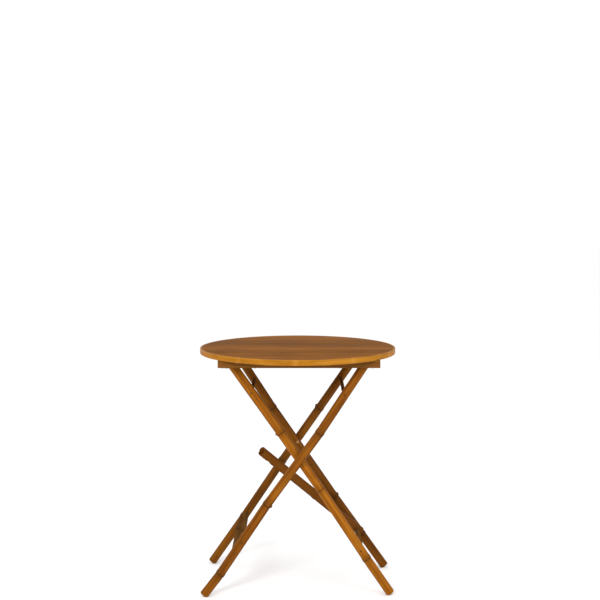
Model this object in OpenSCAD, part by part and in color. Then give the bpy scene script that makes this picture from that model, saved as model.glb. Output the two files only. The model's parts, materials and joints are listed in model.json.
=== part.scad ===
// Round folding table of bamboo at bar height, with a hole for a parasol pole.
// X runs along the planks, Y from front to back and Z up. The origin is on the
// floor under the middle of the top. The two leg frames cross like scissors:
// the outer frame is hinged to the top on the right, and the inner frame ends
// in a rod that the two catches under the top hook over on the left.

/* [Table top] */
// Diameter of the top over its rim
top_d = 800; // [700:10:960]
// Height of the top above the floor
table_h = 980; // [800:5:1180]
// Thickness of the planks
plank_t = 18; // [14:1:24]
// Gap between neighbouring planks
seam = 0.8; // [0.4:0.1:2]
// Thickness of the bent strips that form the rim
rim_t = 8; // [5:1:12]
// Height of the rim strips
rim_h = 22; // [18:1:30]
// Gap where the two rim strips meet
rim_joint = 0.6; // [0.2:0.1:2]
// Diameter of the parasol hole
hole_d = 40; // [34:1:50]

/* [Rails and battens] */
// How far the rails stop short of the rim's edge, on the catch side
rail_short = 11; // [0:1:20]
// Thickness of a rail from front to back
rail_w = 22; // [16:1:30]
// Wood left under the hinge rod in a rail
rail_floor = 5; // [4:1:10]
// Width of a batten
batten_w = 36; // [24:2:44]
// Thickness of a batten
batten_t = 12; // [8:1:15]
// Distance of the two inner battens from the middle
inner_batten_x = 110; // [90:5:125]
// Distance of the two outer battens from the middle
outer_batten_x = 225; // [205:5:230]
// Gap between a batten's end and the rim
batten_end_gap = 20; // [12:1:30]
// Width of the cleat around the parasol hole
cleat_w = 120; // [80:5:140]

/* [Legs] */
// Diameter of the bamboo poles
pole_d = 36; // [28:1:43]
// Distance of each foot from the middle, along the planks
foot_x = 378; // [300:2:454]
// Distance of the hinge rod and the catch rod from the middle
hinge_x = 268; // [240:2:300]
// Distance of the outer poles from the middle, front and back
outer_y = 215; // [180:1:240]
// Gap between the outer and inner poles
pole_gap = 2; // [1:0.5:6]
// Gap between a pole's rounded top and the planks
pole_top_gap = 3; // [2:0.5:6]
// Swelling of a pole at each of its nodes
node_swell = 2; // [1:0.2:3]
// Chamfer around the foot of each pole
foot_chamfer = 5; // [3:0.5:7]
// How much of a foot's lowest edge is cut away level, so that it stands flat
foot_cut = 1.2; // [0.6:0.2:2]

/* [Rungs, rods and pegs] */
// Diameter of the lower rungs and of the lock rung
lower_rung_d = 23; // [16:1:26]
// Diameter of the upper rungs
upper_rung_d = 15; // [12:1:20]
// Distance of the lower rungs from the foot, along the pole
lower_rung_s = 220; // [205:1:235]
// Distance of the outer frame's lock rung from the foot, along the pole
lock_rung_s = 272; // [270:2:320]
// Distance of the upper rungs from the top pivot, along the pole
upper_rung_drop = 148; // [120:2:200]
// How far a rung runs past the middle of its pole
rung_seat = 6; // [2:1:8]
// Diameter of the rod that hinges the top to the outer frame
hinge_rod_d = 14; // [10:1:16]
// Diameter of the rod that the catches hook over
catch_rod_d = 16; // [12:1:18]
// Diameter of the pegs where the frames cross
peg_d = 12; // [8:1:16]
// Radial clearance of a turning joint
run_gap = 0.05; // [0.02:0.01:0.1]

/* [Catches] */
// Clearance around the catch rod
catch_gap = 0.8; // [0.5:0.1:2]
// Wood around the catch rod
catch_wall = 8; // [6:1:14]
// Clearance between a catch and the inner poles
catch_side_gap = 4; // [2:1:8]
// Angle of the catch's mouth below level
catch_mouth = 64; // [55:1:75]

/* [Lock strut] */
// Diameter of the strut
strut_d = 39; // [34:1:42]
// Distance of the strut's middle behind the table's middle
strut_y = 128; // [60:1:130]
// Angle of the raised strut above level
strut_rest = 39.5; // [25:0.5:50]
// Length of strut past its pivot
strut_tail = 21; // [18:1:30]
// Length of strut past its notch, as a grip
strut_grip = 59; // [40:1:90]
// Depth of the notch that drops over the lock rung
notch_depth = 5; // [3:0.5:9]
// Clearance around the locked rung
notch_gap = 0.4; // [0.3:0.1:1.5]
// Slant of the strut's free end, which leaves its hollow open to the front
strut_slant = 30; // [0:1:40]
// Diameter of the hollow at the strut's free end
strut_bore_d = 28; // [16:1:30]
// Depth of the hollow at the strut's free end
strut_bore_len = 44; // [34:1:50]

/* [Fasteners] */
// Diameter of the nails in the rung ends
nail_d = 3; // [2:0.5:4]
// Length of the nails in the rung ends
nail_len = 24; // [20:1:28]
// Diameter of the screws in the battens
batten_screw_d = 4; // [3:0.5:5]
// Diameter of the screws in the rails
rail_screw_d = 5; // [4:0.5:6]
// Depth of the screws in the planks
screw_bite = 9; // [6:1:12]
// Distance of the last screws from the edge of the planks
screw_edge = 8; // [6:1:14]

/* [Hidden] */
$fn = 64;

// Planks, counted from the front
plank_count = 8;
pitch = top_d / plank_count;
top_r = top_d / 2;
rim_in_r = top_r - rim_t;
plank_z = table_h - plank_t;
far = 3000;

// The scissor linkage, seen from the front
pole_r = pole_d / 2;
hinge_drop = pole_r + pole_top_gap;
hinge_z = plank_z - hinge_drop;
pole_len = norm([foot_x + hinge_x, hinge_z]);
lean = atan((foot_x + hinge_x) / hinge_z);
pivot_s = pole_len * foot_x / (foot_x + hinge_x);
upper_rung_s = pole_len - upper_rung_drop;
inner_y = outer_y - pole_d - pole_gap;

// Rails, battens and catches
rail_h = hinge_drop + hinge_rod_d / 2 + rail_floor;
rail_in_y = outer_y + pole_r + 2.5;
rail_mid_y = rail_in_y + rail_w / 2;
rail_z = plank_z - rail_h;
batten_x = [-outer_batten_x, -inner_batten_x, inner_batten_x, outer_batten_x];
batten_z = plank_z - batten_t;
catch_in_y = inner_y + pole_r + catch_side_gap;
catch_r = catch_rod_d / 2 + catch_gap;
catch_half_w = catch_r + catch_wall;
catch_h = hinge_drop + catch_r + catch_wall;
// The rails run to the rim, and always past the catches and the hinge rod
rail_chord = sqrt(pow(top_r, 2) - pow(rail_in_y, 2));
rail_x0 = -max(rail_chord - rail_short, hinge_x + catch_half_w + 5);
rail_x1 = max(rail_chord, hinge_x + hinge_rod_d + 5);
hinge_rod_half = rail_in_y + rail_w - 5;
catch_rod_half = rail_in_y - 4;

// Screws: one for each plank that a batten crosses, clear of the rails, and along the rails
screw_head_r = 3.6;
screw_head_h = 2;
rail_head_r = 5;
rail_head_h = 2.5;
rail_screw_end = sqrt(pow(rim_in_r - screw_edge, 2) - pow(rail_mid_y, 2));
rail_screw_mid = (inner_batten_x + outer_batten_x) / 2;
rail_screw_x = [-rail_screw_end, -rail_screw_mid, rail_screw_mid, rail_screw_end];
screws = [for (x = batten_x, side = [-1, 1], k = [0 : plank_count / 2 - 1])
    let (y0 = k * pitch, y1 = min(y0 + pitch, batten_half(x) - batten_t))
        if (y1 - y0 > 4 * screw_head_r) [x, side * screw_y(y0, y1)]];

// Nodes of each culm: share of the pole's length from the foot, then how far the
// culm's middle strays from a straight line, across the frame and front to back
outer_front_bends = [[0, -2, 0], [0.10, 4, 0], [0.395, -1, 0], [0.707, 8, 0], [1, 0, 0]];
outer_rear_bends = [[0, 0, 14], [0.217, 1, 7], [0.48, -3, 0], [0.727, -1, 0], [1, 0, 0]];
inner_front_bends = [[0, 0, -16], [0.155, 0, -10], [0.45, 6, 0], [0.694, 5, 0], [1, 0, 0]];
inner_rear_bends = [[0, 0, -5], [0.155, -3, -3], [0.33, -7, 0], [0.74, -7, 0], [1, 1, 0]];
strut_node = 0.42;
nick_r = 4;
node_half = 9;
node_flat = 1.5;
node_sink = 0.6;
tip_len = pole_r * 0.85;
tip_chamfer = pole_r * 0.5;
stub_r = 4.5;
stub_out = 4;
nail_head_r = 3.5;
nail_head_h = 1.5;
nail_proud = 0.5;
peg_blind = 8;

// The lock strut, from its pivot on the inner lower rung to the notch over the lock rung
strut_r = strut_d / 2;
pivot_x = foot_x - lower_rung_s * sin(lean);
pivot_z = lower_rung_s * cos(lean);
lock_dx = pivot_x + foot_x - lock_rung_s * sin(lean);
lock_dz = lock_rung_s * cos(lean) - pivot_z;
notch_rise = strut_r + lower_rung_d / 2 - notch_depth;
notch_s = sqrt(pow(lock_dx, 2) + pow(lock_dz, 2) - pow(notch_rise, 2));
strut_len = notch_s + strut_grip;

// Half the length of a batten at its top, so that its ends clear the rim
function batten_half(x) = sqrt(pow(rim_in_r, 2) - pow(abs(x) + batten_w / 2, 2)) - batten_end_gap;

// Where a screw goes between two edges: in the middle, or in the wider part beside the rail
function screw_y(y0, y1) =
    (y0 + y1) / 2 < rail_in_y - 2 * screw_head_r || (y0 + y1) / 2 > rail_in_y + rail_w + 2 * screw_head_r
    ? (y0 + y1) / 2
    : rail_in_y - y0 > 4 * screw_head_r ? (y0 + rail_in_y) / 2 : (rail_in_y + rail_w + y1) / 2;

// How far a culm's middle strays at a given distance from its foot
function stray(bends, s, axis) = lookup(s / pole_len, [for (b = bends) [b[0], b[axis]]]);

// Points of a culm's middle line in its own frame, with Z along the pole
function culm_points(bends) = [for (b = bends) [b[1], b[2], b[0] * pole_len]];

// How far up the pole its square foot ends, so that only the lowest edge is cut level
function foot_s(bends) = ((pole_r - foot_chamfer + bends[0][1]) * sin(lean) - foot_cut) / cos(lean);

// Distances of the rungs from the foot: three on the outer frame and two on the inner one
function rung_places(way) = way == 1
    ? [lower_rung_s, lock_rung_s, upper_rung_s] : [lower_rung_s, upper_rung_s];
function rung_r(s) = s == upper_rung_s ? upper_rung_d / 2 : lower_rung_d / 2;

// Front or rear surface of a pole at a given distance from its foot
function face_y(bends, y, s) = y + stray(bends, s, 2)
    + sign(y) * sqrt(pow(pole_r, 2) - pow(stray(bends, s, 1), 2));

// A frame's own axes: Z runs up the pole from its foot. way is 1 for the outer frame
// and -1 for the inner one, which leans the other way.
module along_pole(way) {
    translate([-way * foot_x, 0, 0]) rotate([0, way * lean, 0]) children();
}

// A straight round bar between two points, with its far end chamfered
module bar(a, b, r, chamfer) {
    v = b - a;
    translate(a)
        rotate([0, acos(v[2] / norm(v)), atan2(v[1], v[0])])
            if (chamfer > 0)
                rotate_extrude()
                    polygon([[0, 0], [r, 0], [r, norm(v) - chamfer], [r - chamfer, norm(v)], [0, norm(v)]]);
            else
                cylinder(h = norm(v), r = r);
}

// A round bar along Y, through the origin of its frame
module cross_bar(r, y0, y1) {
    translate([0, y0, 0]) rotate([-90, 0, 0]) cylinder(h = y1 - y0, r = r);
}

// The swollen ring at a node of the culm
module node_ring(r) {
    rotate_extrude()
        polygon([
            [0, -node_half], [r - node_sink, -node_half], [r + node_swell, -node_flat],
            [r + node_swell, node_flat], [r - node_sink, node_half], [0, node_half]
        ]);
}

// A short stub of a cut branch, on one side of a node
module stub(side) {
    rotate([0, side * 62, 0]) cylinder(h = pole_r + stub_out + 2, r1 = stub_r, r2 = stub_r - 1);
}

// A bamboo pole along Z: straight between its nodes, with chamfered ends
module culm(bends, stub_node, stub_side) {
    pts = culm_points(bends);
    last = len(pts) - 1;
    down = (pts[0] - pts[1]) / norm(pts[0] - pts[1]);
    up = (pts[last] - pts[last - 1]) / norm(pts[last] - pts[last - 1]);
    bar(pts[1], pts[0] - foot_s(bends) * down, pole_r, foot_chamfer);
    for (i = [1 : last - 2]) bar(pts[i], pts[i + 1], pole_r, 0);
    bar(pts[last - 1], pts[last] + tip_len * up, pole_r, tip_chamfer);
    for (i = [1 : last - 1]) translate(pts[i]) node_ring(pole_r);
    translate(pts[stub_node]) stub(stub_side);
}

// One leg: a culm with its foot's edge cut level, drilled for its rungs, rod, peg and nails
module leg(way, y, bends, stub_node, stub_side, top_r, peg_r, peg_y0, peg_y1) {
    side = sign(y);
    difference() {
        along_pole(way) difference() {
            translate([0, y, 0]) culm(bends, stub_node, stub_side);
            translate([0, 0, pole_len]) cross_bar(top_r, y - pole_d, y + pole_d);
            translate([0, 0, pivot_s])
                cross_bar(peg_r, side > 0 ? peg_y0 : -peg_y1, side > 0 ? peg_y1 : -peg_y0);
            for (s = rung_places(way)) rung(way == 1 ? outer_y : inner_y, s);
            nails(way, y, bends, pole_r);
        }
        translate([-far / 2, -far / 2, -far]) cube(far);
    }
}

// A rung of the frame whose poles stand at y, at a distance from the foot
module rung(y, s) {
    translate([0, 0, s]) cross_bar(rung_r(s), -y - rung_seat, y + rung_seat);
}

// The nails that hold one pole's rungs. Their heads stand out of the culm's face.
module nails(way, y, bends, proud) {
    for (s = rung_places(way)) nail(face_y(bends, y, s), s, proud);
}

module nail(y, s, proud) {
    side = sign(y);
    head_y = y - side * nail_head_h;
    top_y = y + side * proud;
    tip_y = y - side * nail_len;
    translate([0, 0, s]) {
        cross_bar(nail_head_r, min(top_y, head_y), max(top_y, head_y));
        cross_bar(nail_d / 2, min(tip_y, head_y), max(tip_y, head_y));
    }
}

module outer_nail_set() {
    nails(1, -outer_y, outer_front_bends, nail_proud);
    nails(1, outer_y, outer_rear_bends, nail_proud);
}

module inner_nail_set() {
    nails(-1, -inner_y, inner_front_bends, nail_proud);
    nails(-1, inner_y, inner_rear_bends, nail_proud);
}

// The boards of the top, cut to the round inside of the rim
module plank(index) {
    color("peru") difference() {
        intersection() {
            translate([0, 0, plank_z]) cylinder(h = plank_t, r = rim_in_r, $fn = 128);
            translate([-top_r, -top_r + index * pitch + seam / 2, plank_z])
                cube([top_d, pitch - seam, plank_t]);
        }
        parasol_hole();
        batten_screw_set(index * pitch - top_r, (index + 1) * pitch - top_r);
        rail_screw_set(index * pitch - top_r, (index + 1) * pitch - top_r);
    }
}

module parasol_hole() {
    translate([0, 0, batten_z - 1]) cylinder(h = batten_t + plank_t + 2, d = hole_d);
}

// One of the two bent strips of the rim: side is -1 in front and 1 behind
module rim(side) {
    color("goldenrod") intersection() {
        translate([0, 0, table_h - rim_h]) difference() {
            cylinder(h = rim_h, r = top_r, $fn = 128);
            translate([0, 0, -1]) cylinder(h = rim_h + 2, r = rim_in_r, $fn = 128);
        }
        translate([-top_d, side > 0 ? rim_joint / 2 : -top_d - rim_joint / 2, 0])
            cube([2 * top_d, top_d, 2 * table_h]);
    }
}

// A batten under the planks, with its ends bevelled back
module batten(index) {
    x = batten_x[index];
    half = batten_half(x);
    color("sienna") difference() {
        translate([x - batten_w / 2, 0, 0]) rotate([90, 0, 90])
            linear_extrude(batten_w)
                polygon([
                    [-half, plank_z], [half, plank_z],
                    [half - batten_t, batten_z], [-half + batten_t, batten_z]
                ]);
        batten_screw_set(-top_r, top_r);
    }
}

module hole_cleat() {
    half = inner_batten_x - batten_w / 2;
    color("saddlebrown") difference() {
        translate([-half, -cleat_w / 2, batten_z]) cube([2 * half, cleat_w, batten_t]);
        parasol_hole();
    }
}

// A rail: notched over the battens, cut back under the rim and bored for the hinge rod
module rail(side) {
    y0 = side > 0 ? rail_in_y : -rail_in_y - rail_w;
    color("chocolate") difference() {
        translate([rail_x0, y0, rail_z]) cube([rail_x1 - rail_x0, rail_w, rail_h]);
        translate([0, 0, table_h - rim_h]) difference() {
            translate([-far / 2, -far / 2, 0]) cube([far, far, rim_h]);
            cylinder(h = far, r = rim_in_r, center = true, $fn = 128);
        }
        for (x = batten_x)
            translate([x - batten_w / 2, y0 - 1, batten_z]) cube([batten_w, rail_w + 2, batten_t + 1]);
        hinge_rod();
        rail_screw_set(-top_r, top_r);
    }
}

module front_rail() { rail(-1); }
module rear_rail() { rail(1); }

module hinge_rod() {
    translate([hinge_x, 0, hinge_z]) cross_bar(hinge_rod_d / 2, -hinge_rod_half, hinge_rod_half);
}

module top_hinge_rod() {
    color("tan") hinge_rod();
}

// A block on the rail that hooks over the inner frame's top rod. Its mouth faces down
// and inwards, the way that the rod leaves as the table folds.
module catch_block(side) {
    y0 = side > 0 ? catch_in_y : -rail_in_y;
    color("saddlebrown") translate([-hinge_x, 0, hinge_z]) difference() {
        translate([-catch_half_w, y0, hinge_drop - catch_h])
            cube([2 * catch_half_w, rail_in_y - catch_in_y, catch_h]);
        cross_bar(catch_r, -far, far);
        rotate([0, catch_mouth, 0])
            translate([0, -far, -catch_r]) cube([pole_d * 2, 2 * far, 2 * catch_r]);
    }
}

module front_catch() { catch_block(-1); }
module rear_catch() { catch_block(1); }

// Screws up through the battens, for the planks between two distances from the middle
module batten_screw_set(y0, y1) {
    for (p = screws)
        if (p[1] > y0 && p[1] < y1)
            translate([p[0], p[1], batten_z]) {
                cylinder(h = screw_head_h, r = screw_head_r, $fn = 32);
                cylinder(h = batten_t + screw_bite, d = batten_screw_d, $fn = 32);
            }
}

// Screws up through the rails, with round heads that stand out below
module rail_screw_set(y0, y1) {
    for (x = rail_screw_x, side = [-1, 1])
        if (side * rail_mid_y > y0 && side * rail_mid_y < y1)
            translate([x, side * rail_mid_y, rail_z]) {
                cylinder(h = rail_h + screw_bite, d = rail_screw_d, $fn = 32);
                translate([0, 0, -rail_head_h])
                    cylinder(h = rail_head_h, r1 = rail_head_r * 0.6, r2 = rail_head_r, $fn = 32);
            }
}

module batten_screws() {
    color("dimgray") batten_screw_set(-top_r, top_r);
}

module rail_screws() {
    color("dimgray") rail_screw_set(-top_r, top_r);
}

// The outer frame
module outer_leg_front() {
    color("goldenrod")
        leg(1, -outer_y, outer_front_bends, 2, 1, hinge_rod_d / 2 + run_gap,
            peg_d / 2, outer_y - pole_d, outer_y + pole_r - peg_blind);
}

module outer_leg_rear() {
    color("darkgoldenrod")
        leg(1, outer_y, outer_rear_bends, 3, -1, hinge_rod_d / 2 + run_gap,
            peg_d / 2, outer_y - pole_d, outer_y + pole_r - peg_blind);
}

module outer_rung(s) {
    color("burlywood") along_pole(1) difference() {
        rung(outer_y, s);
        outer_nail_set();
    }
}

module outer_upper_rung() { outer_rung(upper_rung_s); }
module outer_lock_rung() { outer_rung(lock_rung_s); }
module outer_lower_rung() { outer_rung(lower_rung_s); }

module outer_nails() {
    color("dimgray") along_pole(1) outer_nail_set();
}

// A peg that joins the frames where two poles cross, blind in the outer pole
module pivot_peg(side) {
    y0 = inner_y - pole_r - 2;
    y1 = outer_y + pole_r - peg_blind;
    color("tan") along_pole(1) translate([0, 0, pivot_s])
        cross_bar(peg_d / 2, side > 0 ? y0 : -y1, side > 0 ? y1 : -y0);
}

module pivot_peg_front() { pivot_peg(-1); }
module pivot_peg_rear() { pivot_peg(1); }

// The inner frame
module inner_leg_front() {
    color("goldenrod")
        leg(-1, -inner_y, inner_front_bends, 3, -1, catch_rod_d / 2,
            peg_d / 2 + run_gap, inner_y - pole_d, inner_y + pole_d);
}

module inner_leg_rear() {
    color("darkgoldenrod")
        leg(-1, inner_y, inner_rear_bends, 2, 1, catch_rod_d / 2,
            peg_d / 2 + run_gap, inner_y - pole_d, inner_y + pole_d);
}

module inner_rung(s) {
    color("burlywood") along_pole(-1) difference() {
        rung(inner_y, s);
        inner_nail_set();
    }
}

module inner_upper_rung() { inner_rung(upper_rung_s); }
module inner_lower_rung() { inner_rung(lower_rung_s); }

module inner_top_rod() {
    color("tan") along_pole(-1) translate([0, 0, pole_len])
        cross_bar(catch_rod_d / 2, -catch_rod_half, catch_rod_half);
}

module inner_nails() {
    color("dimgray") along_pole(-1) inner_nail_set();
}

// The strut that turns on the inner lower rung and drops its notch over the lock rung
module lock_strut() {
    color("peru")
        translate([pivot_x, strut_y, pivot_z]) rotate([0, strut_rest - 90, 0])
            difference() {
                union() {
                    translate([0, 0, -strut_tail]) cylinder(h = strut_tail + strut_len, r = strut_r);
                    translate([0, 0, strut_node * strut_len]) node_ring(strut_r);
                }
                cross_bar(lower_rung_d / 2 + run_gap, -strut_d, strut_d);
                translate([-notch_rise, 0, notch_s])
                    cross_bar(lower_rung_d / 2 + notch_gap, -strut_d, strut_d);
                translate([0, 0, strut_len - strut_bore_len])
                    cylinder(h = strut_bore_len + 1, d = strut_bore_d);
                translate([0, strut_r, strut_len]) rotate([strut_slant, 0, 0])
                    translate([-far / 2, -far / 2, 0]) cube(far);
                translate([-strut_r * 0.55, 0, strut_len - 1]) cross_bar(nick_r, -strut_d, strut_d);
            }
}

plank(0);  // plank_1
plank(1);  // plank_2
plank(2);  // plank_3
plank(3);  // plank_4
plank(4);  // plank_5
plank(5);  // plank_6
plank(6);  // plank_7
plank(7);  // plank_8
rim(-1);  // rim_front
rim(1);  // rim_rear
batten(0);  // batten_1
batten(1);  // batten_2
batten(2);  // batten_3
batten(3);  // batten_4
hole_cleat();
front_rail();
rear_rail();
front_catch();
rear_catch();
top_hinge_rod();
batten_screws();
rail_screws();
outer_leg_front();
outer_leg_rear();
outer_upper_rung();
outer_lock_rung();
outer_lower_rung();
outer_nails();
pivot_peg_front();
pivot_peg_rear();
inner_leg_front();
inner_leg_rear();
inner_upper_rung();
inner_lower_rung();
inner_top_rod();
inner_nails();
lock_strut();
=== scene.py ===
"""Looks for the round folding bamboo table: culms, planks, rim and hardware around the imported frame."""

import json
import math

import bmesh
import bpy
from mathutils import Matrix, Vector, noise


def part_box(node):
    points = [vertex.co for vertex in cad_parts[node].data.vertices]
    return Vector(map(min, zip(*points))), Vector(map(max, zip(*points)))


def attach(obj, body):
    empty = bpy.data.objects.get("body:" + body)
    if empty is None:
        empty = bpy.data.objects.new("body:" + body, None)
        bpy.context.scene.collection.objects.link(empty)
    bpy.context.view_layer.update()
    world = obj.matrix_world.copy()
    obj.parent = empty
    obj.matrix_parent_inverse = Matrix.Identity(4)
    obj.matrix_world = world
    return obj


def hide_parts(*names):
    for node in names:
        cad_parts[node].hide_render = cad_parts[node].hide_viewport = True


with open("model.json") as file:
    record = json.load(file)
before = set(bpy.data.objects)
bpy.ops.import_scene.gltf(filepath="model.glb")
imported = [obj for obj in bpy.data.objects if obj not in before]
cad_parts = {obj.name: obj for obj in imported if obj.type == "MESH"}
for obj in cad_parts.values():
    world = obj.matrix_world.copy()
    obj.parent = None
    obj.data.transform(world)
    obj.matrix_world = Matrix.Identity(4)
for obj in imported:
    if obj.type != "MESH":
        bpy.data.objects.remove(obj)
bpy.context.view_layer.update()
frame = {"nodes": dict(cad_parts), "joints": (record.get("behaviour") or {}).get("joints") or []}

# ---------------------------------------------------------------- measures taken from the frame

joints = {j["name"]: j for j in frame["joints"]}
CROSS = Vector(joints["leg_fold"]["pos_m"])
HINGE = Vector(joints["top_tilt"]["pos_m"])
STRUT_PIVOT = Vector(joints["strut_swing"]["pos_m"])
FOOT_X = HINGE.x * CROSS.z / (HINGE.z - CROSS.z)
POLE_LEN = math.hypot(HINGE.x + FOOT_X, HINGE.z)
LEAN = math.atan2(HINGE.x + FOOT_X, HINGE.z)
RUNG_SEAT = 0.006
OUTER_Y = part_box("outer_upper_rung")[1].y - RUNG_SEAT
INNER_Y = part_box("inner_upper_rung")[1].y - RUNG_SEAT
TOP_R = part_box("rim_front")[1].x
PITCH = TOP_R / 4

# ---------------------------------------------------------------- sizes of the bamboo, in metres

POLE_R = 0.018
TIP_LEN = 0.0153
TIP_ROUND = 0.009
FOOT_ROUND = 0.005
FOOT_CUT = 0.0012
# Share of the pole's length from its foot, then how far its middle strays across and front to back.
BENDS = {
    "outer_leg_front": [(0, -0.002, 0), (0.10, 0.004, 0), (0.395, -0.001, 0),
                        (0.707, 0.008, 0), (1, 0, 0)],
    "outer_leg_rear": [(0, 0, 0.014), (0.217, 0.001, 0.007), (0.48, -0.003, 0),
                       (0.727, -0.001, 0), (1, 0, 0)],
    "inner_leg_front": [(0, 0, -0.016), (0.155, 0, -0.010), (0.45, 0.006, 0),
                        (0.694, 0.005, 0), (1, 0, 0)],
    "inner_leg_rear": [(0, 0, -0.005), (0.155, -0.003, -0.003), (0.33, -0.007, 0),
                       (0.74, -0.007, 0), (1, 0.001, 0)],
}
# Which node of each leg keeps the stub of a cut branch, and on which side of the leg.
STUBS = {
    "outer_leg_front": (1, 0.0),
    "outer_leg_rear": (2, math.pi),
    "inner_leg_front": (2, math.pi),
    "inner_leg_rear": (1, 0.0),
}
STRUT_R = 0.0195
STRUT_REST = math.radians(39.5)
STRUT_TAIL = 0.021
STRUT_GRIP = 0.059
STRUT_NODE = 0.42
STRUT_SLANT = math.radians(30)
STRUT_BORE = 0.014
STRUT_BORE_DEPTH = 0.044
STRUT_Y = (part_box("lock_strut")[0].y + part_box("lock_strut")[1].y) / 2
NOTCH_DEPTH = 0.005
NOTCH_GAP = 0.0004
NICK_R = 0.004
LOWER_RUNG_R = (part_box("inner_lower_rung")[1].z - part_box("inner_lower_rung")[0].z) / 2
UPPER_RUNG_R = (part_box("inner_upper_rung")[1].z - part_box("inner_upper_rung")[0].z) / 2


# ---------------------------------------------------------------- helpers

def new_object(name, mesh):
    piece = bpy.data.objects.new(name, mesh)
    bpy.context.scene.collection.objects.link(piece)
    return piece


def smooth(mesh, angle=None):
    mesh.shade_smooth()
    if angle is not None:
        mesh.set_sharp_from_angle(angle=angle)


def evaluated(piece):
    """Bakes the piece's modifiers into its mesh."""
    graph = bpy.context.evaluated_depsgraph_get()
    mesh = bpy.data.meshes.new_from_object(piece.evaluated_get(graph), depsgraph=graph)
    piece.modifiers.clear()
    old = piece.data
    piece.data = mesh
    bpy.data.meshes.remove(old)
    return piece


def bump_of(x, width):
    return math.exp(-(x / width) ** 2)


def stray(bends, share):
    """How far a culm's middle is off its straight line at a share of its length."""
    share = min(max(share, bends[0][0]), bends[-1][0])
    for a, b in zip(bends, bends[1:]):
        if share <= b[0]:
            t = (share - a[0]) / (b[0] - a[0])
            return a[1] + t * (b[1] - a[1]), a[2] + t * (b[2] - a[2])
    return bends[-1][1], bends[-1][2]


def soft_stray(bends, s, length, reach=0.012):
    """The same, with each bend rounded off over a short reach."""
    samples = [stray(bends, (s + d) / length) for d in (-reach, -reach / 2, 0, reach / 2, reach)]
    return sum(p[0] for p in samples) / 5, sum(p[1] for p in samples) / 5


class Culm:
    """A stick of bamboo along its own Z: nodes, bud grooves, slight waists and cut ends."""

    AROUND = 56

    def __init__(self, length, radius, nodes, seed, bends=None, ridge=0.0017):
        self.length, self.radius, self.nodes, self.seed, self.ridge = length, radius, nodes, seed, ridge
        self.bends = bends or [(0, 0, 0), (1, 0, 0)]
        self.stub = None

    def bud_side(self, index):
        return (self.seed * 1.7 + index * math.pi) % (2 * math.pi)

    def middle(self, s):
        return soft_stray(self.bends, s, self.length)

    def surface(self, s, turn):
        """Radius at a distance along the culm and a turn around it."""
        r = self.radius * 0.985
        wide = noise.noise(Vector((math.cos(turn) * 0.8, math.sin(turn) * 0.8, s * 9 + self.seed * 7)))
        r += self.radius * 0.012 * wide
        r += self.radius * 0.010 * math.cos(2 * turn + self.seed + s * 3)
        for index, at in enumerate(self.nodes):
            d = s - at
            if abs(d) > 0.16:
                continue
            wander = 0.0012 * math.sin(turn * 2 + self.seed + index) + 0.0006 * math.sin(turn * 3 + index)
            r += self.ridge * bump_of(d - wander, 0.0022)
            r += self.ridge * 0.85 * bump_of(d - wander - 0.0075, 0.0042)
            r -= self.ridge * 0.22 * bump_of(d - wander - 0.0036, 0.0013)
            r -= self.ridge * 0.20 * bump_of(d + 0.008, 0.006)
            off = math.remainder(turn - self.bud_side(index), 2 * math.pi)
            if d > 0.004:
                fade = math.exp(-(d - 0.004) / 0.06) * min(1, (d - 0.004) / 0.01)
                r -= self.radius * 0.055 * bump_of(off, 0.40) * fade
            r += self.ridge * 0.9 * bump_of(off, 0.22) * bump_of(d - 0.007, 0.005)
            if self.stub and self.stub[0] == index:
                off = math.remainder(turn - self.stub[1], 2 * math.pi)
                r += 0.0045 * bump_of(off, 0.20) * bump_of(d - 0.006, 0.0045)
        return r

    def stations(self, start, end):
        fine = [start, end]
        s = start
        while s < end:
            near = min((abs(s - at - 0.003) for at in self.nodes), default=1)
            s += 0.0011 if near < 0.014 else 0.0055
            fine.append(min(s, end))
        return sorted(set(fine))


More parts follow.
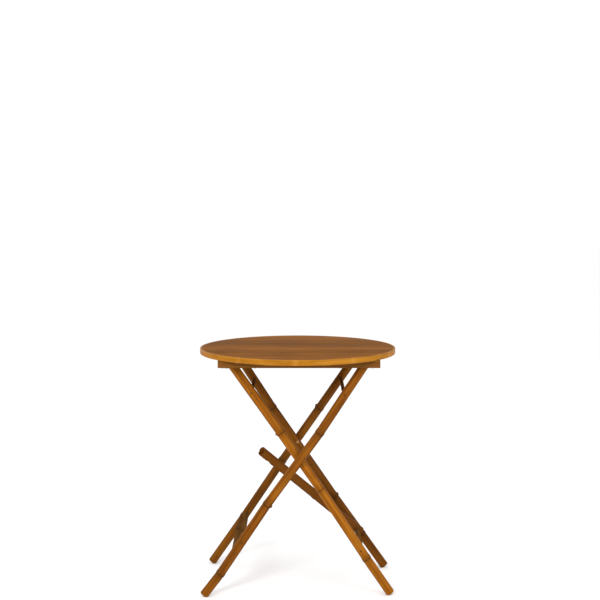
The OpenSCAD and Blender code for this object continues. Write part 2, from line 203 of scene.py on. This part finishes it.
def culm_mesh(name, culm, place, start, end, floor_cut=False, tip=False, bore=0.0, bore_depth=0.0):
    """Skins a culm. place turns its own frame into the row frame. The far end is cut square, rounded
    as a tip, or hollow. The near end is square, or a rounded foot cut level where it meets the floor."""
    around = Culm.AROUND
    turns = [2 * math.pi * k / around for k in range(around)]
    rings = []

    def ring(s, scale=1.0, flat=None, level=None):
        cx, cy = culm.middle(min(max(s, 0), culm.length))
        points = []
        for turn in turns:
            r = flat if flat is not None else culm.surface(s, turn) * scale
            own = Vector((cx + r * math.cos(turn), cy + r * math.sin(turn), s))
            if level is not None:
                world = place @ own
                up = place.to_3x3() @ Vector((0, 0, 1))
                own = own + Vector((0, 0, 1)) * max(0.0, (level - world.z) / up.z)
            points.append(own)
        rings.append(points)

    if floor_cut:
        ring(start, flat=0.0015, level=0.0)
        ring(start, flat=culm.radius * 0.45, level=0.0)
        for k in range(6):
            turn_in = k / 5 * math.pi / 2
            ring(start + FOOT_ROUND * (1 - math.cos(turn_in)),
                 scale=(culm.radius - FOOT_ROUND * (1 - math.sin(turn_in))) / culm.radius, level=0.0)
        first = start + FOOT_ROUND + 0.002
    else:
        ring(start, flat=0.0015)
        ring(start, scale=0.60)
        ring(start, scale=0.93)
        ring(start + 0.0010, scale=0.985)
        first = start + 0.003
    last = end - (TIP_ROUND if tip else 0.0024)
    for s in culm.stations(first, last):
        ring(s, level=0.0 if floor_cut and s < first + POLE_R else None)
    if tip:
        for k in range(1, 6):
            bow = math.sin(k / 5 * math.pi / 2)
            ring(last + TIP_ROUND * k / 5 * 0.98, scale=1 - 0.42 * (1 - math.sqrt(max(0, 1 - bow ** 2))))
        ring(end, scale=0.45)
        ring(end - 0.001, flat=0.0015)
    elif bore:
        ring(end - 0.0009, scale=0.985)
        ring(end, scale=0.95)
        ring(end, flat=bore + 0.0008)
        ring(end - 0.0010, flat=bore)
        ring(end - bore_depth * 0.5, flat=bore * 0.98)
        ring(end - bore_depth + 0.003, flat=bore * 0.95)
        ring(end - bore_depth, flat=bore * 0.70)
        ring(end - bore_depth - 0.001, flat=0.0015)
    else:
        ring(end - 0.0009, scale=0.985)
        ring(end, scale=0.93)
        ring(end, scale=0.60)
        ring(end, flat=0.0015)

    mesh = bpy.data.meshes.new(name)
    verts = [place @ p for points in rings for p in points]
    faces = []
    for i in range(len(rings) - 1):
        for k in range(around):
            a, b = i * around + k, i * around + (k + 1) % around
            faces.append((a, b, b + around, a + around))
    faces.append(tuple(reversed(range(around))))
    faces.append(tuple(range((len(rings) - 1) * around, len(rings) * around)))
    mesh.from_pydata(verts, [], faces)
    mesh.update()
    mark_culm(mesh, culm, [p for points in rings for p in points])
    smooth(mesh, math.radians(50))
    return mesh


def mark_culm(mesh, culm, own_points):
    """Writes the culm's own straight coordinates and its node and end marks for the materials."""
    grain = mesh.attributes.new("grain", "FLOAT_VECTOR", "POINT")
    marks = mesh.attributes.new("marks", "FLOAT_VECTOR", "POINT")
    grain_data, mark_data = [], []
    for p in own_points:
        cx, cy = culm.middle(min(max(p.z, 0), culm.length))
        x, y = p.x - cx, p.y - cy
        grain_data += [x + culm.seed * 0.37, y + culm.seed * 0.71, p.z + culm.seed * 1.3]
        scar = max((bump_of(p.z - at, 0.0026) for at in culm.nodes), default=0)
        burn = max((bump_of(p.z - at - 0.004, 0.024) for at in culm.nodes), default=0)
        core = 1.0 if math.hypot(x, y) < culm.radius * 0.90 else 0.0
        mark_data += [scar, burn, core]
    grain.data.foreach_set("vector", grain_data)
    marks.data.foreach_set("vector", mark_data)


def leg_place(way, y):
    """The frame of a leg: Z runs up the pole from its foot. way is 1 outside and -1 inside."""
    return Matrix.Translation((-way * FOOT_X, y, 0)) @ Matrix.Rotation(way * LEAN, 4, "Y")


def wood_copy(node, body, name, bevel, segments=3):
    """A copy of a CAD node with its flat faces cleaned and its edges rounded."""
    source = frame["nodes"][node]
    mesh = source.data.copy()
    mesh.name = name
    for key in ("custom_normal", "sharp_face", "sharp_edge"):
        if key in mesh.attributes:
            mesh.attributes.remove(mesh.attributes[key])
    shape = bmesh.new()
    shape.from_mesh(mesh)
    bmesh.ops.remove_doubles(shape, verts=shape.verts, dist=1e-6)
    bmesh.ops.dissolve_limit(shape, angle_limit=math.radians(0.5), verts=shape.verts, edges=shape.edges)
    shape.to_mesh(mesh)
    shape.free()
    mesh.materials.clear()
    piece = new_object(name, mesh)
    rounding = piece.modifiers.new("Rounding", "BEVEL")
    rounding.width = bevel
    rounding.segments = segments
    rounding.limit_method = "ANGLE"
    rounding.angle_limit = math.radians(40)
    rounding.harden_normals = False
    evaluated(piece)
    smooth(piece.data, math.radians(35))
    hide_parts(node)
    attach(piece, body)
    return piece


# ---------------------------------------------------------------- materials

class Nodes:
    """A small helper that builds a material's node tree."""

    def __init__(self, name):
        self.material = bpy.data.materials.new(name)
        self.material.use_nodes = True
        self.tree = self.material.node_tree
        self.tree.nodes.clear()
        self.out = self.tree.nodes.new("ShaderNodeOutputMaterial")
        self.shader = self.tree.nodes.new("ShaderNodeBsdfPrincipled")
        self.tree.links.new(self.shader.outputs["BSDF"], self.out.inputs["Surface"])

    def put(self, socket, value):
        if isinstance(value, bpy.types.NodeSocket):
            self.tree.links.new(value, socket)
        elif value is not None:
            socket.default_value = value

    def attribute(self, name):
        n = self.tree.nodes.new("ShaderNodeAttribute")
        n.attribute_name = name
        return n.outputs["Vector"]

    def object_point(self):
        return self.tree.nodes.new("ShaderNodeTexCoord").outputs["Object"]

    def split(self, vector):
        n = self.tree.nodes.new("ShaderNodeSeparateXYZ")
        self.put(n.inputs[0], vector)
        return n.outputs

    def join(self, x, y, z):
        n = self.tree.nodes.new("ShaderNodeCombineXYZ")
        for socket, value in zip(n.inputs, (x, y, z)):
            self.put(socket, value)
        return n.outputs[0]

    def stretch(self, vector, scale, shift=(0, 0, 0)):
        n = self.tree.nodes.new("ShaderNodeMapping")
        self.put(n.inputs["Vector"], vector)
        n.inputs["Scale"].default_value = scale
        n.inputs["Location"].default_value = shift
        return n.outputs[0]

    def noise(self, vector, scale, detail=4.0, rough=0.55, warp=0.0):
        n = self.tree.nodes.new("ShaderNodeTexNoise")
        self.put(n.inputs["Vector"], vector)
        n.inputs["Scale"].default_value = scale
        n.inputs["Detail"].default_value = detail
        n.inputs["Roughness"].default_value = rough
        n.inputs["Distortion"].default_value = warp
        return n.outputs["Fac"]

    def white(self, vector):
        n = self.tree.nodes.new("ShaderNodeTexWhiteNoise")
        n.noise_dimensions = "3D"
        self.put(n.inputs["Vector"], vector)
        return n.outputs["Value"]

    def ramp(self, value, stops):
        n = self.tree.nodes.new("ShaderNodeValToRGB")
        self.put(n.inputs["Fac"], value)
        while len(n.color_ramp.elements) < len(stops):
            n.color_ramp.elements.new(0.5)
        for element, (at, colour) in zip(n.color_ramp.elements, stops):
            element.position = at
            element.color = (*colour, 1) if isinstance(colour, tuple) else (colour, colour, colour, 1)
        return n.outputs["Color"]

    def mix(self, factor, a, b, kind="MIX"):
        n = self.tree.nodes.new("ShaderNodeMix")
        n.data_type = "RGBA"
        n.blend_type = kind
        self.put(n.inputs["Factor"], factor)
        for key, value in (("A", a), ("B", b)):
            socket = next(i for i in n.inputs if i.name == key and i.type == "RGBA")
            self.put(socket, (*value, 1) if isinstance(value, tuple) else value)
        return next(o for o in n.outputs if o.type == "RGBA")

    def math(self, kind, a, b=None, c=None):
        n = self.tree.nodes.new("ShaderNodeMath")
        n.operation = kind
        for socket, value in zip(n.inputs, (a, b, c)):
            self.put(socket, value)
        return n.outputs[0]

    def bump(self, height, strength, distance, under=None):
        n = self.tree.nodes.new("ShaderNodeBump")
        self.put(n.inputs["Height"], height)
        n.inputs["Strength"].default_value = strength
        n.inputs["Distance"].default_value = distance
        self.put(n.inputs["Normal"], under)
        return n.outputs[0]

    def finish(self, colour, rough, normal=None, coat=0.0, coat_rough=0.2, metallic=0.0, specular=0.03):
        self.put(self.shader.inputs["Base Color"], colour)
        self.put(self.shader.inputs["Roughness"], rough)
        self.put(self.shader.inputs["Normal"], normal)
        self.shader.inputs["Specular IOR Level"].default_value = specular
        self.shader.inputs["Coat Weight"].default_value = coat
        self.shader.inputs["Coat Roughness"].default_value = coat_rough
        self.shader.inputs["Metallic"].default_value = metallic
        return self.material


def culm_material(name, pale, mid, dark, ring, coat=0.01, specular=0.03):
    """Varnished bamboo skin: fine fibres along the culm, blotches, scorched nodes and dark rings at the node scars.
    """
    m = Nodes(name)
    grain = m.attribute("grain")
    marks = m.split(m.attribute("marks"))
    fibre = m.noise(m.stretch(grain, (260, 260, 5)), 1.0, 5, 0.6)
    streak = m.noise(m.stretch(grain, (70, 70, 2.2)), 1.0, 3, 0.5, 0.4)
    blotch = m.noise(m.stretch(grain, (16, 16, 6)), 1.0, 4, 0.6, 0.8)
    speck = m.noise(m.stretch(grain, (420, 420, 120)), 1.0, 2, 0.5)
    tone = m.math("ADD", m.math("MULTIPLY", streak, 0.55), m.math("MULTIPLY", blotch, 0.45))
    skin = m.ramp(tone, [(0.30, dark), (0.47, mid), (0.66, pale)])
    lines = m.ramp(fibre, [(0.30, 0.62), (0.52, 0.97), (0.75, 1.12)])
    skin = m.mix(0.75, skin, lines, "MULTIPLY")
    dots = m.ramp(speck, [(0.27, 0.45), (0.35, 1.0)])
    skin = m.mix(0.5, skin, dots, "MULTIPLY")
    scorch = m.math("MULTIPLY", marks[1], m.ramp(blotch, [(0.34, 0.15), (0.62, 1.0)]))
    skin = m.mix(m.math("MULTIPLY", scorch, 0.55), skin, tuple(0.42 * c for c in dark))
    skin = m.mix(m.math("MULTIPLY", marks[0], 0.85), skin, ring)
    core = m.mix(m.ramp(fibre, [(0.35, 0.0), (0.7, 1.0)]), (0.17, 0.080, 0.028), (0.08, 0.036, 0.012))
    skin = m.mix(marks[2], skin, core)
    rough = m.ramp(m.math("ADD", m.math("MULTIPLY", fibre, 0.5), m.math("MULTIPLY", blotch, 0.5)),
                   [(0.32, 0.26), (0.72, 0.50)])
    rough = m.mix(m.math("MULTIPLY", marks[2], 0.8), rough, (0.75, 0.75, 0.75))
    normal = m.bump(fibre, 0.35, 0.0006)
    normal = m.bump(streak, 0.25, 0.0015, normal)
    return m.finish(skin, rough, normal, coat=coat, coat_rough=0.25, specular=specular)


def plank_material(name):
    """Varnished planks: long grain, fine pores, a tone of its own for each plank, and worn patches."""
    m = Nodes(name)
    point = m.object_point()
    x, y, z = m.split(point)
    index = m.math("FLOOR", m.math("DIVIDE", m.math("ADD", y, TOP_R), PITCH))
    own = m.white(m.join(index, 3.7, 1.9))
    shifted = m.join(m.math("ADD", x, m.math("MULTIPLY", own, 9.0)), y,
                     m.math("ADD", z, m.math("MULTIPLY", index, 0.71)))
    figure = m.noise(m.stretch(shifted, (2.6, 34, 34)), 1.0, 5, 0.6, 1.3)
    fibre = m.noise(m.stretch(shifted, (14, 420, 420)), 1.0, 4, 0.6)
    strip = m.noise(m.stretch(shifted, (1.1, 95, 95)), 1.0, 2, 0.5)
    cloud = m.noise(m.stretch(point, (4, 5, 5)), 1.0, 3, 0.5)
    pore = m.noise(m.stretch(shifted, (60, 900, 900)), 1.0, 2, 0.5)
    tone = m.math("ADD", m.math("MULTIPLY", figure, 0.5), m.math("MULTIPLY", strip, 0.5))
    wood = m.ramp(tone, [(0.28, (0.14, 0.050, 0.010)), (0.46, (0.22, 0.085, 0.019)), (0.60, (0.28, 0.110, 0.028)),
                         (0.74, (0.36, 0.155, 0.045))])
    wood = m.mix(0.7, wood, m.ramp(fibre, [(0.30, 0.66), (0.55, 1.0), (0.8, 1.14)]), "MULTIPLY")
    wood = m.mix(0.6, wood, m.ramp(own, [(0.0, 0.66), (1.0, 1.20)]), "MULTIPLY")
    wood = m.mix(0.5, wood, m.ramp(cloud, [(0.35, 0.70), (0.65, 1.20)]), "MULTIPLY")
    wood = m.mix(0.6, wood, m.ramp(pore, [(0.28, 0.40), (0.36, 1.0)]), "MULTIPLY")
    rough = m.ramp(m.math("ADD", m.math("MULTIPLY", cloud, 0.6), m.math("MULTIPLY", fibre, 0.4)),
                   [(0.35, 0.50), (0.70, 0.68)])
    normal = m.bump(fibre, 0.28, 0.0005)
    normal = m.bump(figure, 0.18, 0.0012, normal)
    return m.finish(wood, rough, normal, specular=0.004)


def rim_material(name):
    """A bent strip of golden bamboo: fibres along the strip, nodes across it, pale bands beside the nodes and a
    plainer inner face.
    """
    m = Nodes(name)
    grain = m.attribute("grain")
    marks = m.split(m.attribute("marks"))
    fibre = m.noise(m.stretch(grain, (500, 500, 5)), 1.0, 4, 0.6)
    streak = m.noise(m.stretch(grain, (150, 150, 2.0)), 1.0, 3, 0.5)
    blotch = m.noise(m.stretch(grain, (30, 30, 7)), 1.0, 4, 0.6, 0.7)
    tone = m.math("ADD", m.math("MULTIPLY", streak, 0.5), m.math("MULTIPLY", blotch, 0.5))
    skin = m.ramp(tone, [(0.30, (0.20, 0.068, 0.004)), (0.48, (0.30, 0.115, 0.008)), (0.68, (0.40, 0.170, 0.018))])
    skin = m.mix(0.7, skin, m.ramp(fibre, [(0.30, 0.70), (0.55, 1.0), (0.8, 1.10)]), "MULTIPLY")
    skin = m.mix(m.math("MULTIPLY", marks[1], 0.6), skin, (0.42, 0.19, 0.03))
    skin = m.mix(m.math("MULTIPLY", marks[0], 0.55), skin, (0.26, 0.085, 0.012))
    skin = m.mix(m.math("MULTIPLY", marks[2], 0.5), skin, (0.24, 0.095, 0.02))
    rough = m.ramp(blotch, [(0.35, 0.30), (0.7, 0.50)])
    normal = m.bump(fibre, 0.30, 0.0005)
    return m.finish(skin, rough, normal, coat=0.01, coat_rough=0.3)


def timber_material(name, pale, dark, along, coat=0.01):
    """Stained sawn wood, with its grain along one axis of the row frame."""
    m = Nodes(name)
    point = m.object_point()
    fine, long = (520, 9), (46, 2.2)
    scale = [tuple(k[1] if axis == along else k[0] for axis in "XYZ") for k in (fine, long)]
    fibre = m.noise(m.stretch(point, scale[0]), 1.0, 4, 0.6)
    figure = m.noise(m.stretch(point, scale[1]), 1.0, 5, 0.6, 1.1)
    pore = m.noise(m.stretch(point, tuple(s * 2 for s in scale[0])), 1.0, 2, 0.5)
    wood = m.ramp(figure, [(0.30, dark), (0.70, pale)])
    wood = m.mix(0.75, wood, m.ramp(fibre, [(0.30, 0.62), (0.55, 1.0), (0.8, 1.15)]), "MULTIPLY")
    wood = m.mix(0.6, wood, m.ramp(pore, [(0.28, 0.45), (0.37, 1.0)]), "MULTIPLY")
    rough = m.ramp(fibre, [(0.3, 0.42), (0.75, 0.64)])
    normal = m.bump(fibre, 0.30, 0.0005)
    normal = m.bump(figure, 0.15, 0.001, normal)
    return m.finish(wood, rough, normal, coat=coat, coat_rough=0.3)


def steel_material(name, dark, light):
    """Dull zinc-plated steel with fine scratches and a little tarnish."""
    m = Nodes(name)
    point = m.object_point()
    tarnish = m.noise(point, 260, 4, 0.6)
    scratch = m.noise(m.stretch(point, (900, 4000, 900)), 1.0, 2, 0.5)
    colour = m.ramp(tarnish, [(0.35, dark), (0.65, light)])
    rough = m.ramp(m.math("ADD", m.math("MULTIPLY", tarnish, 0.5), m.math("MULTIPLY", scratch, 0.5)),
                   [(0.35, 0.32), (0.7, 0.62)])
    return m.finish(colour, rough, m.bump(scratch, 0.2, 0.0002), metallic=0.9)


GOLD = culm_material("bamboo_gold", (0.36, 0.135, 0.010), (0.235, 0.075, 0.004),
                     (0.135, 0.040, 0.003), (0.07, 0.022, 0.003))
AMBER = culm_material("bamboo_amber", (0.25, 0.085, 0.006), (0.160, 0.048, 0.003),
                     (0.090, 0.025, 0.002), (0.05, 0.015, 0.002))
# A darker copy of the gold culm. On the rear legs it is painted shade, standing in for the front light reaching
# them less. The strut takes the same dark tone.
BROWN_AND_SHADE = culm_material("bamboo_brown_and_shade", (0.20, 0.070, 0.005), (0.125, 0.040, 0.003),
                     (0.072, 0.021, 0.002), (0.04, 0.013, 0.002))
PALE = culm_material("bamboo_pale", (0.170, 0.080, 0.024), (0.120, 0.053, 0.014),
                     (0.075, 0.031, 0.007), (0.05, 0.022, 0.006), coat=0.0, specular=0.0)
PLANKS = plank_material("varnished_planks")
RIM = rim_material("rim_strip")
RAIL = timber_material("rail_wood", (0.19, 0.075, 0.012), (0.10, 0.036, 0.006), "X")
BATTEN = timber_material("batten_wood", (0.24, 0.105, 0.028), (0.12, 0.048, 0.012), "Y")
ROD = timber_material("rod_wood", (0.36, 0.20, 0.08), (0.22, 0.11, 0.04), "Y")
STEEL = steel_material("dull_steel", (0.13, 0.10, 0.075), (0.36, 0.33, 0.29))
NAIL = steel_material("rusty_nails", (0.07, 0.028, 0.008), (0.13, 0.055, 0.018))


# ---------------------------------------------------------------- the legs

LEG_SEEDS = {"outer_leg_front": 1.0, "outer_leg_rear": 2.3, "inner_leg_front": 3.1, "inner_leg_rear": 4.4}
# The rear legs get the darker brown copy as painted shade for the weaker front light behind the front legs.
LEG_LOOKS = {"outer_leg_front": AMBER, "outer_leg_rear": BROWN_AND_SHADE,
             "inner_leg_front": GOLD, "inner_leg_rear": BROWN_AND_SHADE}
for node, bends in BENDS.items():
    outer = node.startswith("outer")
    body = "outer_frame" if outer else "inner_frame"
    side = -1 if node.endswith("front") else 1
    spots = [share * POLE_LEN for share, *_ in bends[1:-1]]
    culm = Culm(POLE_LEN, POLE_R, spots, LEG_SEEDS[node], bends)
    culm.stub = STUBS[node]
    place = leg_place(1 if outer else -1, side * (OUTER_Y if outer else INNER_Y))
    foot = ((POLE_R - FOOT_ROUND + bends[0][1]) * math.sin(LEAN) - FOOT_CUT) / math.cos(LEAN)
    mesh = culm_mesh(node.replace("leg", "culm"), culm, place, foot, POLE_LEN + TIP_LEN,
                     floor_cut=True, tip=True)
    mesh.materials.append(LEG_LOOKS[node])
    piece = new_object(mesh.name, mesh)
    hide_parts(node)
    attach(piece, body)

# ---------------------------------------------------------------- the rungs

RUNGS = {
    "outer_upper_rung": (UPPER_RUNG_R, [0.31], 5.2),
    "outer_lower_rung": (LOWER_RUNG_R, [0.70], 6.1),
    "outer_lock_rung": (LOWER_RUNG_R, [0.28], 11.5),
    "inner_upper_rung": (UPPER_RUNG_R, [0.66], 7.4),
    "inner_lower_rung": (LOWER_RUNG_R, [0.72], 8.3),
}
for node, (radius, shares, seed) in RUNGS.items():
    low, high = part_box(node)
    middle = (low + high) / 2
    length = high.y - low.y
    culm = Culm(length, radius * 0.995, [share * length for share in shares], seed, ridge=0.0009)
    place = Matrix.Translation((middle.x, low.y, middle.z)) @ Matrix.Rotation(-math.pi / 2, 4, "X")
    mesh = culm_mesh(node.replace("rung", "bamboo_rung"), culm, place, 0, length)
    mesh.materials.append(PALE)
    piece = new_object(mesh.name, mesh)
    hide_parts(node)
    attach(piece, "outer_frame" if node.startswith("outer") else "inner_frame")


# ---------------------------------------------------------------- the lock strut

def cutter(name, build):
    shape = bmesh.new()
    build(shape)
    mesh = bpy.data.meshes.new(name)
    bmesh.ops.recalc_face_normals(shape, faces=shape.faces)
    shape.to_mesh(mesh)
    shape.free()
    return new_object(name, mesh)


def drill(shape, place, radius, reach):
    bmesh.ops.create_cone(shape, cap_ends=True, segments=48, radius1=radius, radius2=radius, depth=2 * reach,
                          matrix=place @ Matrix.Rotation(math.pi / 2, 4, "X"))


def carve(piece, tools):
    for tool in tools:
        cut = piece.modifiers.new("Cut", "BOOLEAN")
        cut.operation = "DIFFERENCE"
        cut.solver = "EXACT"
        cut.object = tool
    evaluated(piece)
    for tool in tools:
        bpy.data.objects.remove(tool)


lock_middle = (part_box("outer_lock_rung")[0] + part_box("outer_lock_rung")[1]) / 2
reach_to_lock = math.hypot(lock_middle.x - STRUT_PIVOT.x, lock_middle.z - STRUT_PIVOT.z)
notch_rise = STRUT_R + LOWER_RUNG_R - NOTCH_DEPTH
notch_s = math.sqrt(reach_to_lock ** 2 - notch_rise ** 2)
strut_len = notch_s + STRUT_GRIP
strut_place = (Matrix.Translation((STRUT_PIVOT.x, STRUT_Y, STRUT_PIVOT.z))
               @ Matrix.Rotation(STRUT_REST - math.pi / 2, 4, "Y"))
strut_culm = Culm(strut_len, STRUT_R, [STRUT_NODE * strut_len], 9.6)
strut_mesh = culm_mesh("strut_culm", strut_culm, strut_place, -STRUT_TAIL, strut_len,
                       bore=STRUT_BORE, bore_depth=STRUT_BORE_DEPTH)
strut_mesh.materials.append(BROWN_AND_SHADE)
strut = new_object("strut_culm", strut_mesh)
slant = (strut_place @ Matrix.Translation((0, STRUT_R, strut_len)) @ Matrix.Rotation(STRUT_SLANT, 4, "X")
         @ Matrix.Translation((0, 0, 0.05)))
carve(strut, [
    cutter("pivot_cut", lambda s: drill(s, strut_place, LOWER_RUNG_R + 0.00005, 0.03)),
    cutter("notch_cut", lambda s: drill(s, strut_place @ Matrix.Translation((-notch_rise, 0, notch_s)),
                                        LOWER_RUNG_R + NOTCH_GAP, 0.03)),
    cutter("slant_cut", lambda s: bmesh.ops.create_cube(s, size=0.1, matrix=slant)),
    cutter("nick_cut", lambda s: drill(
        s, strut_place @ Matrix.Translation((-STRUT_R * 0.55, 0, strut_len - 0.001)), NICK_R, 0.03)),
])
smooth(strut.data, math.radians(45))
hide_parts("lock_strut")
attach(strut, "lock_strut")

# ---------------------------------------------------------------- the top

for k in range(1, 9):
    board = wood_copy(f"plank_{k}", "top", f"board_{k}", 0.0012)
    board.data.materials.append(PLANKS)

RIM_NODES = [math.radians(a) for a in
             (-160.6, -126.8, -93, -59.2, -25.4, 8.4, 42.2, 76, 109.8, 143.6, 177.4)]
for node, name in (("rim_front", "rim_strip_front"), ("rim_rear", "rim_strip_rear")):
    strip = wood_copy(node, "top", name, 0.0022, 4)
    strip.data.materials.append(RIM)
    grain, marks = [], []
    for v in strip.data.vertices:
        turn = math.atan2(v.co.y, v.co.x)
        if node == "rim_front" and turn > math.pi / 2:
            turn -= 2 * math.pi
        radius = math.hypot(v.co.x, v.co.y)
        grain += [radius, v.co.z, turn * TOP_R]
        arcs = [(turn - at) * TOP_R for at in RIM_NODES]
        inner = 1.0 if radius < TOP_R - 0.004 else 0.0
        marks += [max(bump_of(a, 0.0022) for a in arcs), max(bump_of(a - 0.009, 0.007) for a in arcs), inner]
    strip.data.attributes.new("grain", "FLOAT_VECTOR", "POINT").data.foreach_set("vector", grain)
    strip.data.attributes.new("marks", "FLOAT_VECTOR", "POINT").data.foreach_set("vector", marks)

TIMBER = {
    "front_rail": ("rail_board_front", RAIL, 0.0014), "rear_rail": ("rail_board_rear", RAIL, 0.0014),
    "batten_1": ("batten_board_1", BATTEN, 0.0010), "batten_2": ("batten_board_2", BATTEN, 0.0010),
    "batten_3": ("batten_board_3", BATTEN, 0.0010), "batten_4": ("batten_board_4", BATTEN, 0.0010),
    "hole_cleat": ("cleat_board", RAIL, 0.0010),
    "front_catch": ("catch_block_front", RAIL, 0.0012), "rear_catch": ("catch_block_rear", RAIL, 0.0012),
}
for node, (name, material, bevel) in TIMBER.items():
    board = wood_copy(node, "top", name, bevel)
    board.data.materials.append(material)

# ---------------------------------------------------------------- rods, pegs, nails and screws

for node in ("top_hinge_rod", "inner_top_rod", "pivot_peg_front", "pivot_peg_rear"):
    frame["nodes"][node].data.materials.clear()
    frame["nodes"][node].data.materials.append(ROD)
for node in ("outer_nails", "inner_nails", "batten_screws", "rail_screws"):
    frame["nodes"][node].data.materials.clear()
    frame["nodes"][node].data.materials.append(NAIL if "nails" in node else STEEL)

# ---------------------------------------------------------------- floor, light and camera

FLOOR_HALF = 30
WORLD_STRENGTH = 1.05
CAMERA_AT = (0.0094, -4.9974, 1.6191)
CAMERA_DIP = 5.1005
CAMERA_LENS = 73.49

floor_mesh = bpy.data.meshes.new("floor")
half = FLOOR_HALF
floor_mesh.from_pydata([(-half, -half, 0), (half, -half, 0), (half, half, 0), (-half, half, 0)], [], [(0, 1, 2, 3)])
floor = new_object("floor", floor_mesh)
paper = Nodes("pale_floor")
paper_grain = paper.noise(paper.object_point(), 3.0, 3, 0.5)
floor_mesh.materials.append(paper.finish(paper.ramp(paper_grain, [(0.3, (0.945, 0.945, 0.945)), (0.7, (0.955, 0.955, 0.955))]), 0.9))

world = bpy.data.worlds.new("pale_room")
bpy.context.scene.world = world
world.use_nodes = True
world.node_tree.nodes["Background"].inputs["Color"].default_value = (1, 1, 1, 1)
world.node_tree.nodes["Background"].inputs["Strength"].default_value = WORLD_STRENGTH


def area_light(name, at, target, size, power):
    lamp = bpy.data.lights.new(name, "AREA")
    lamp.shape = "DISK"
    lamp.size = size
    lamp.energy = power
    holder = bpy.data.objects.new(name, lamp)
    holder.location = at
    holder.rotation_euler = (Vector(target) - Vector(at)).to_track_quat("-Z", "Y").to_euler()
    bpy.context.scene.collection.objects.link(holder)


area_light("key", (-1.6, -4.2, 2.6), (0, 0, 0.6), 1.4, 120)
area_light("fill", (2.6, -2.8, 1.6), (0, 0, 0.5), 2.0, 40)

camera_data = bpy.data.cameras.new("camera")
camera_data.lens = CAMERA_LENS
camera_data.sensor_width = 36
camera = bpy.data.objects.new("camera", camera_data)
camera.location = CAMERA_AT
camera.rotation_euler = (math.radians(90 - CAMERA_DIP), 0, 0)
bpy.context.scene.collection.objects.link(camera)
bpy.context.scene.camera = camera
bpy.context.scene.view_settings.view_transform = "Standard"
bpy.context.scene.view_settings.look = "None"
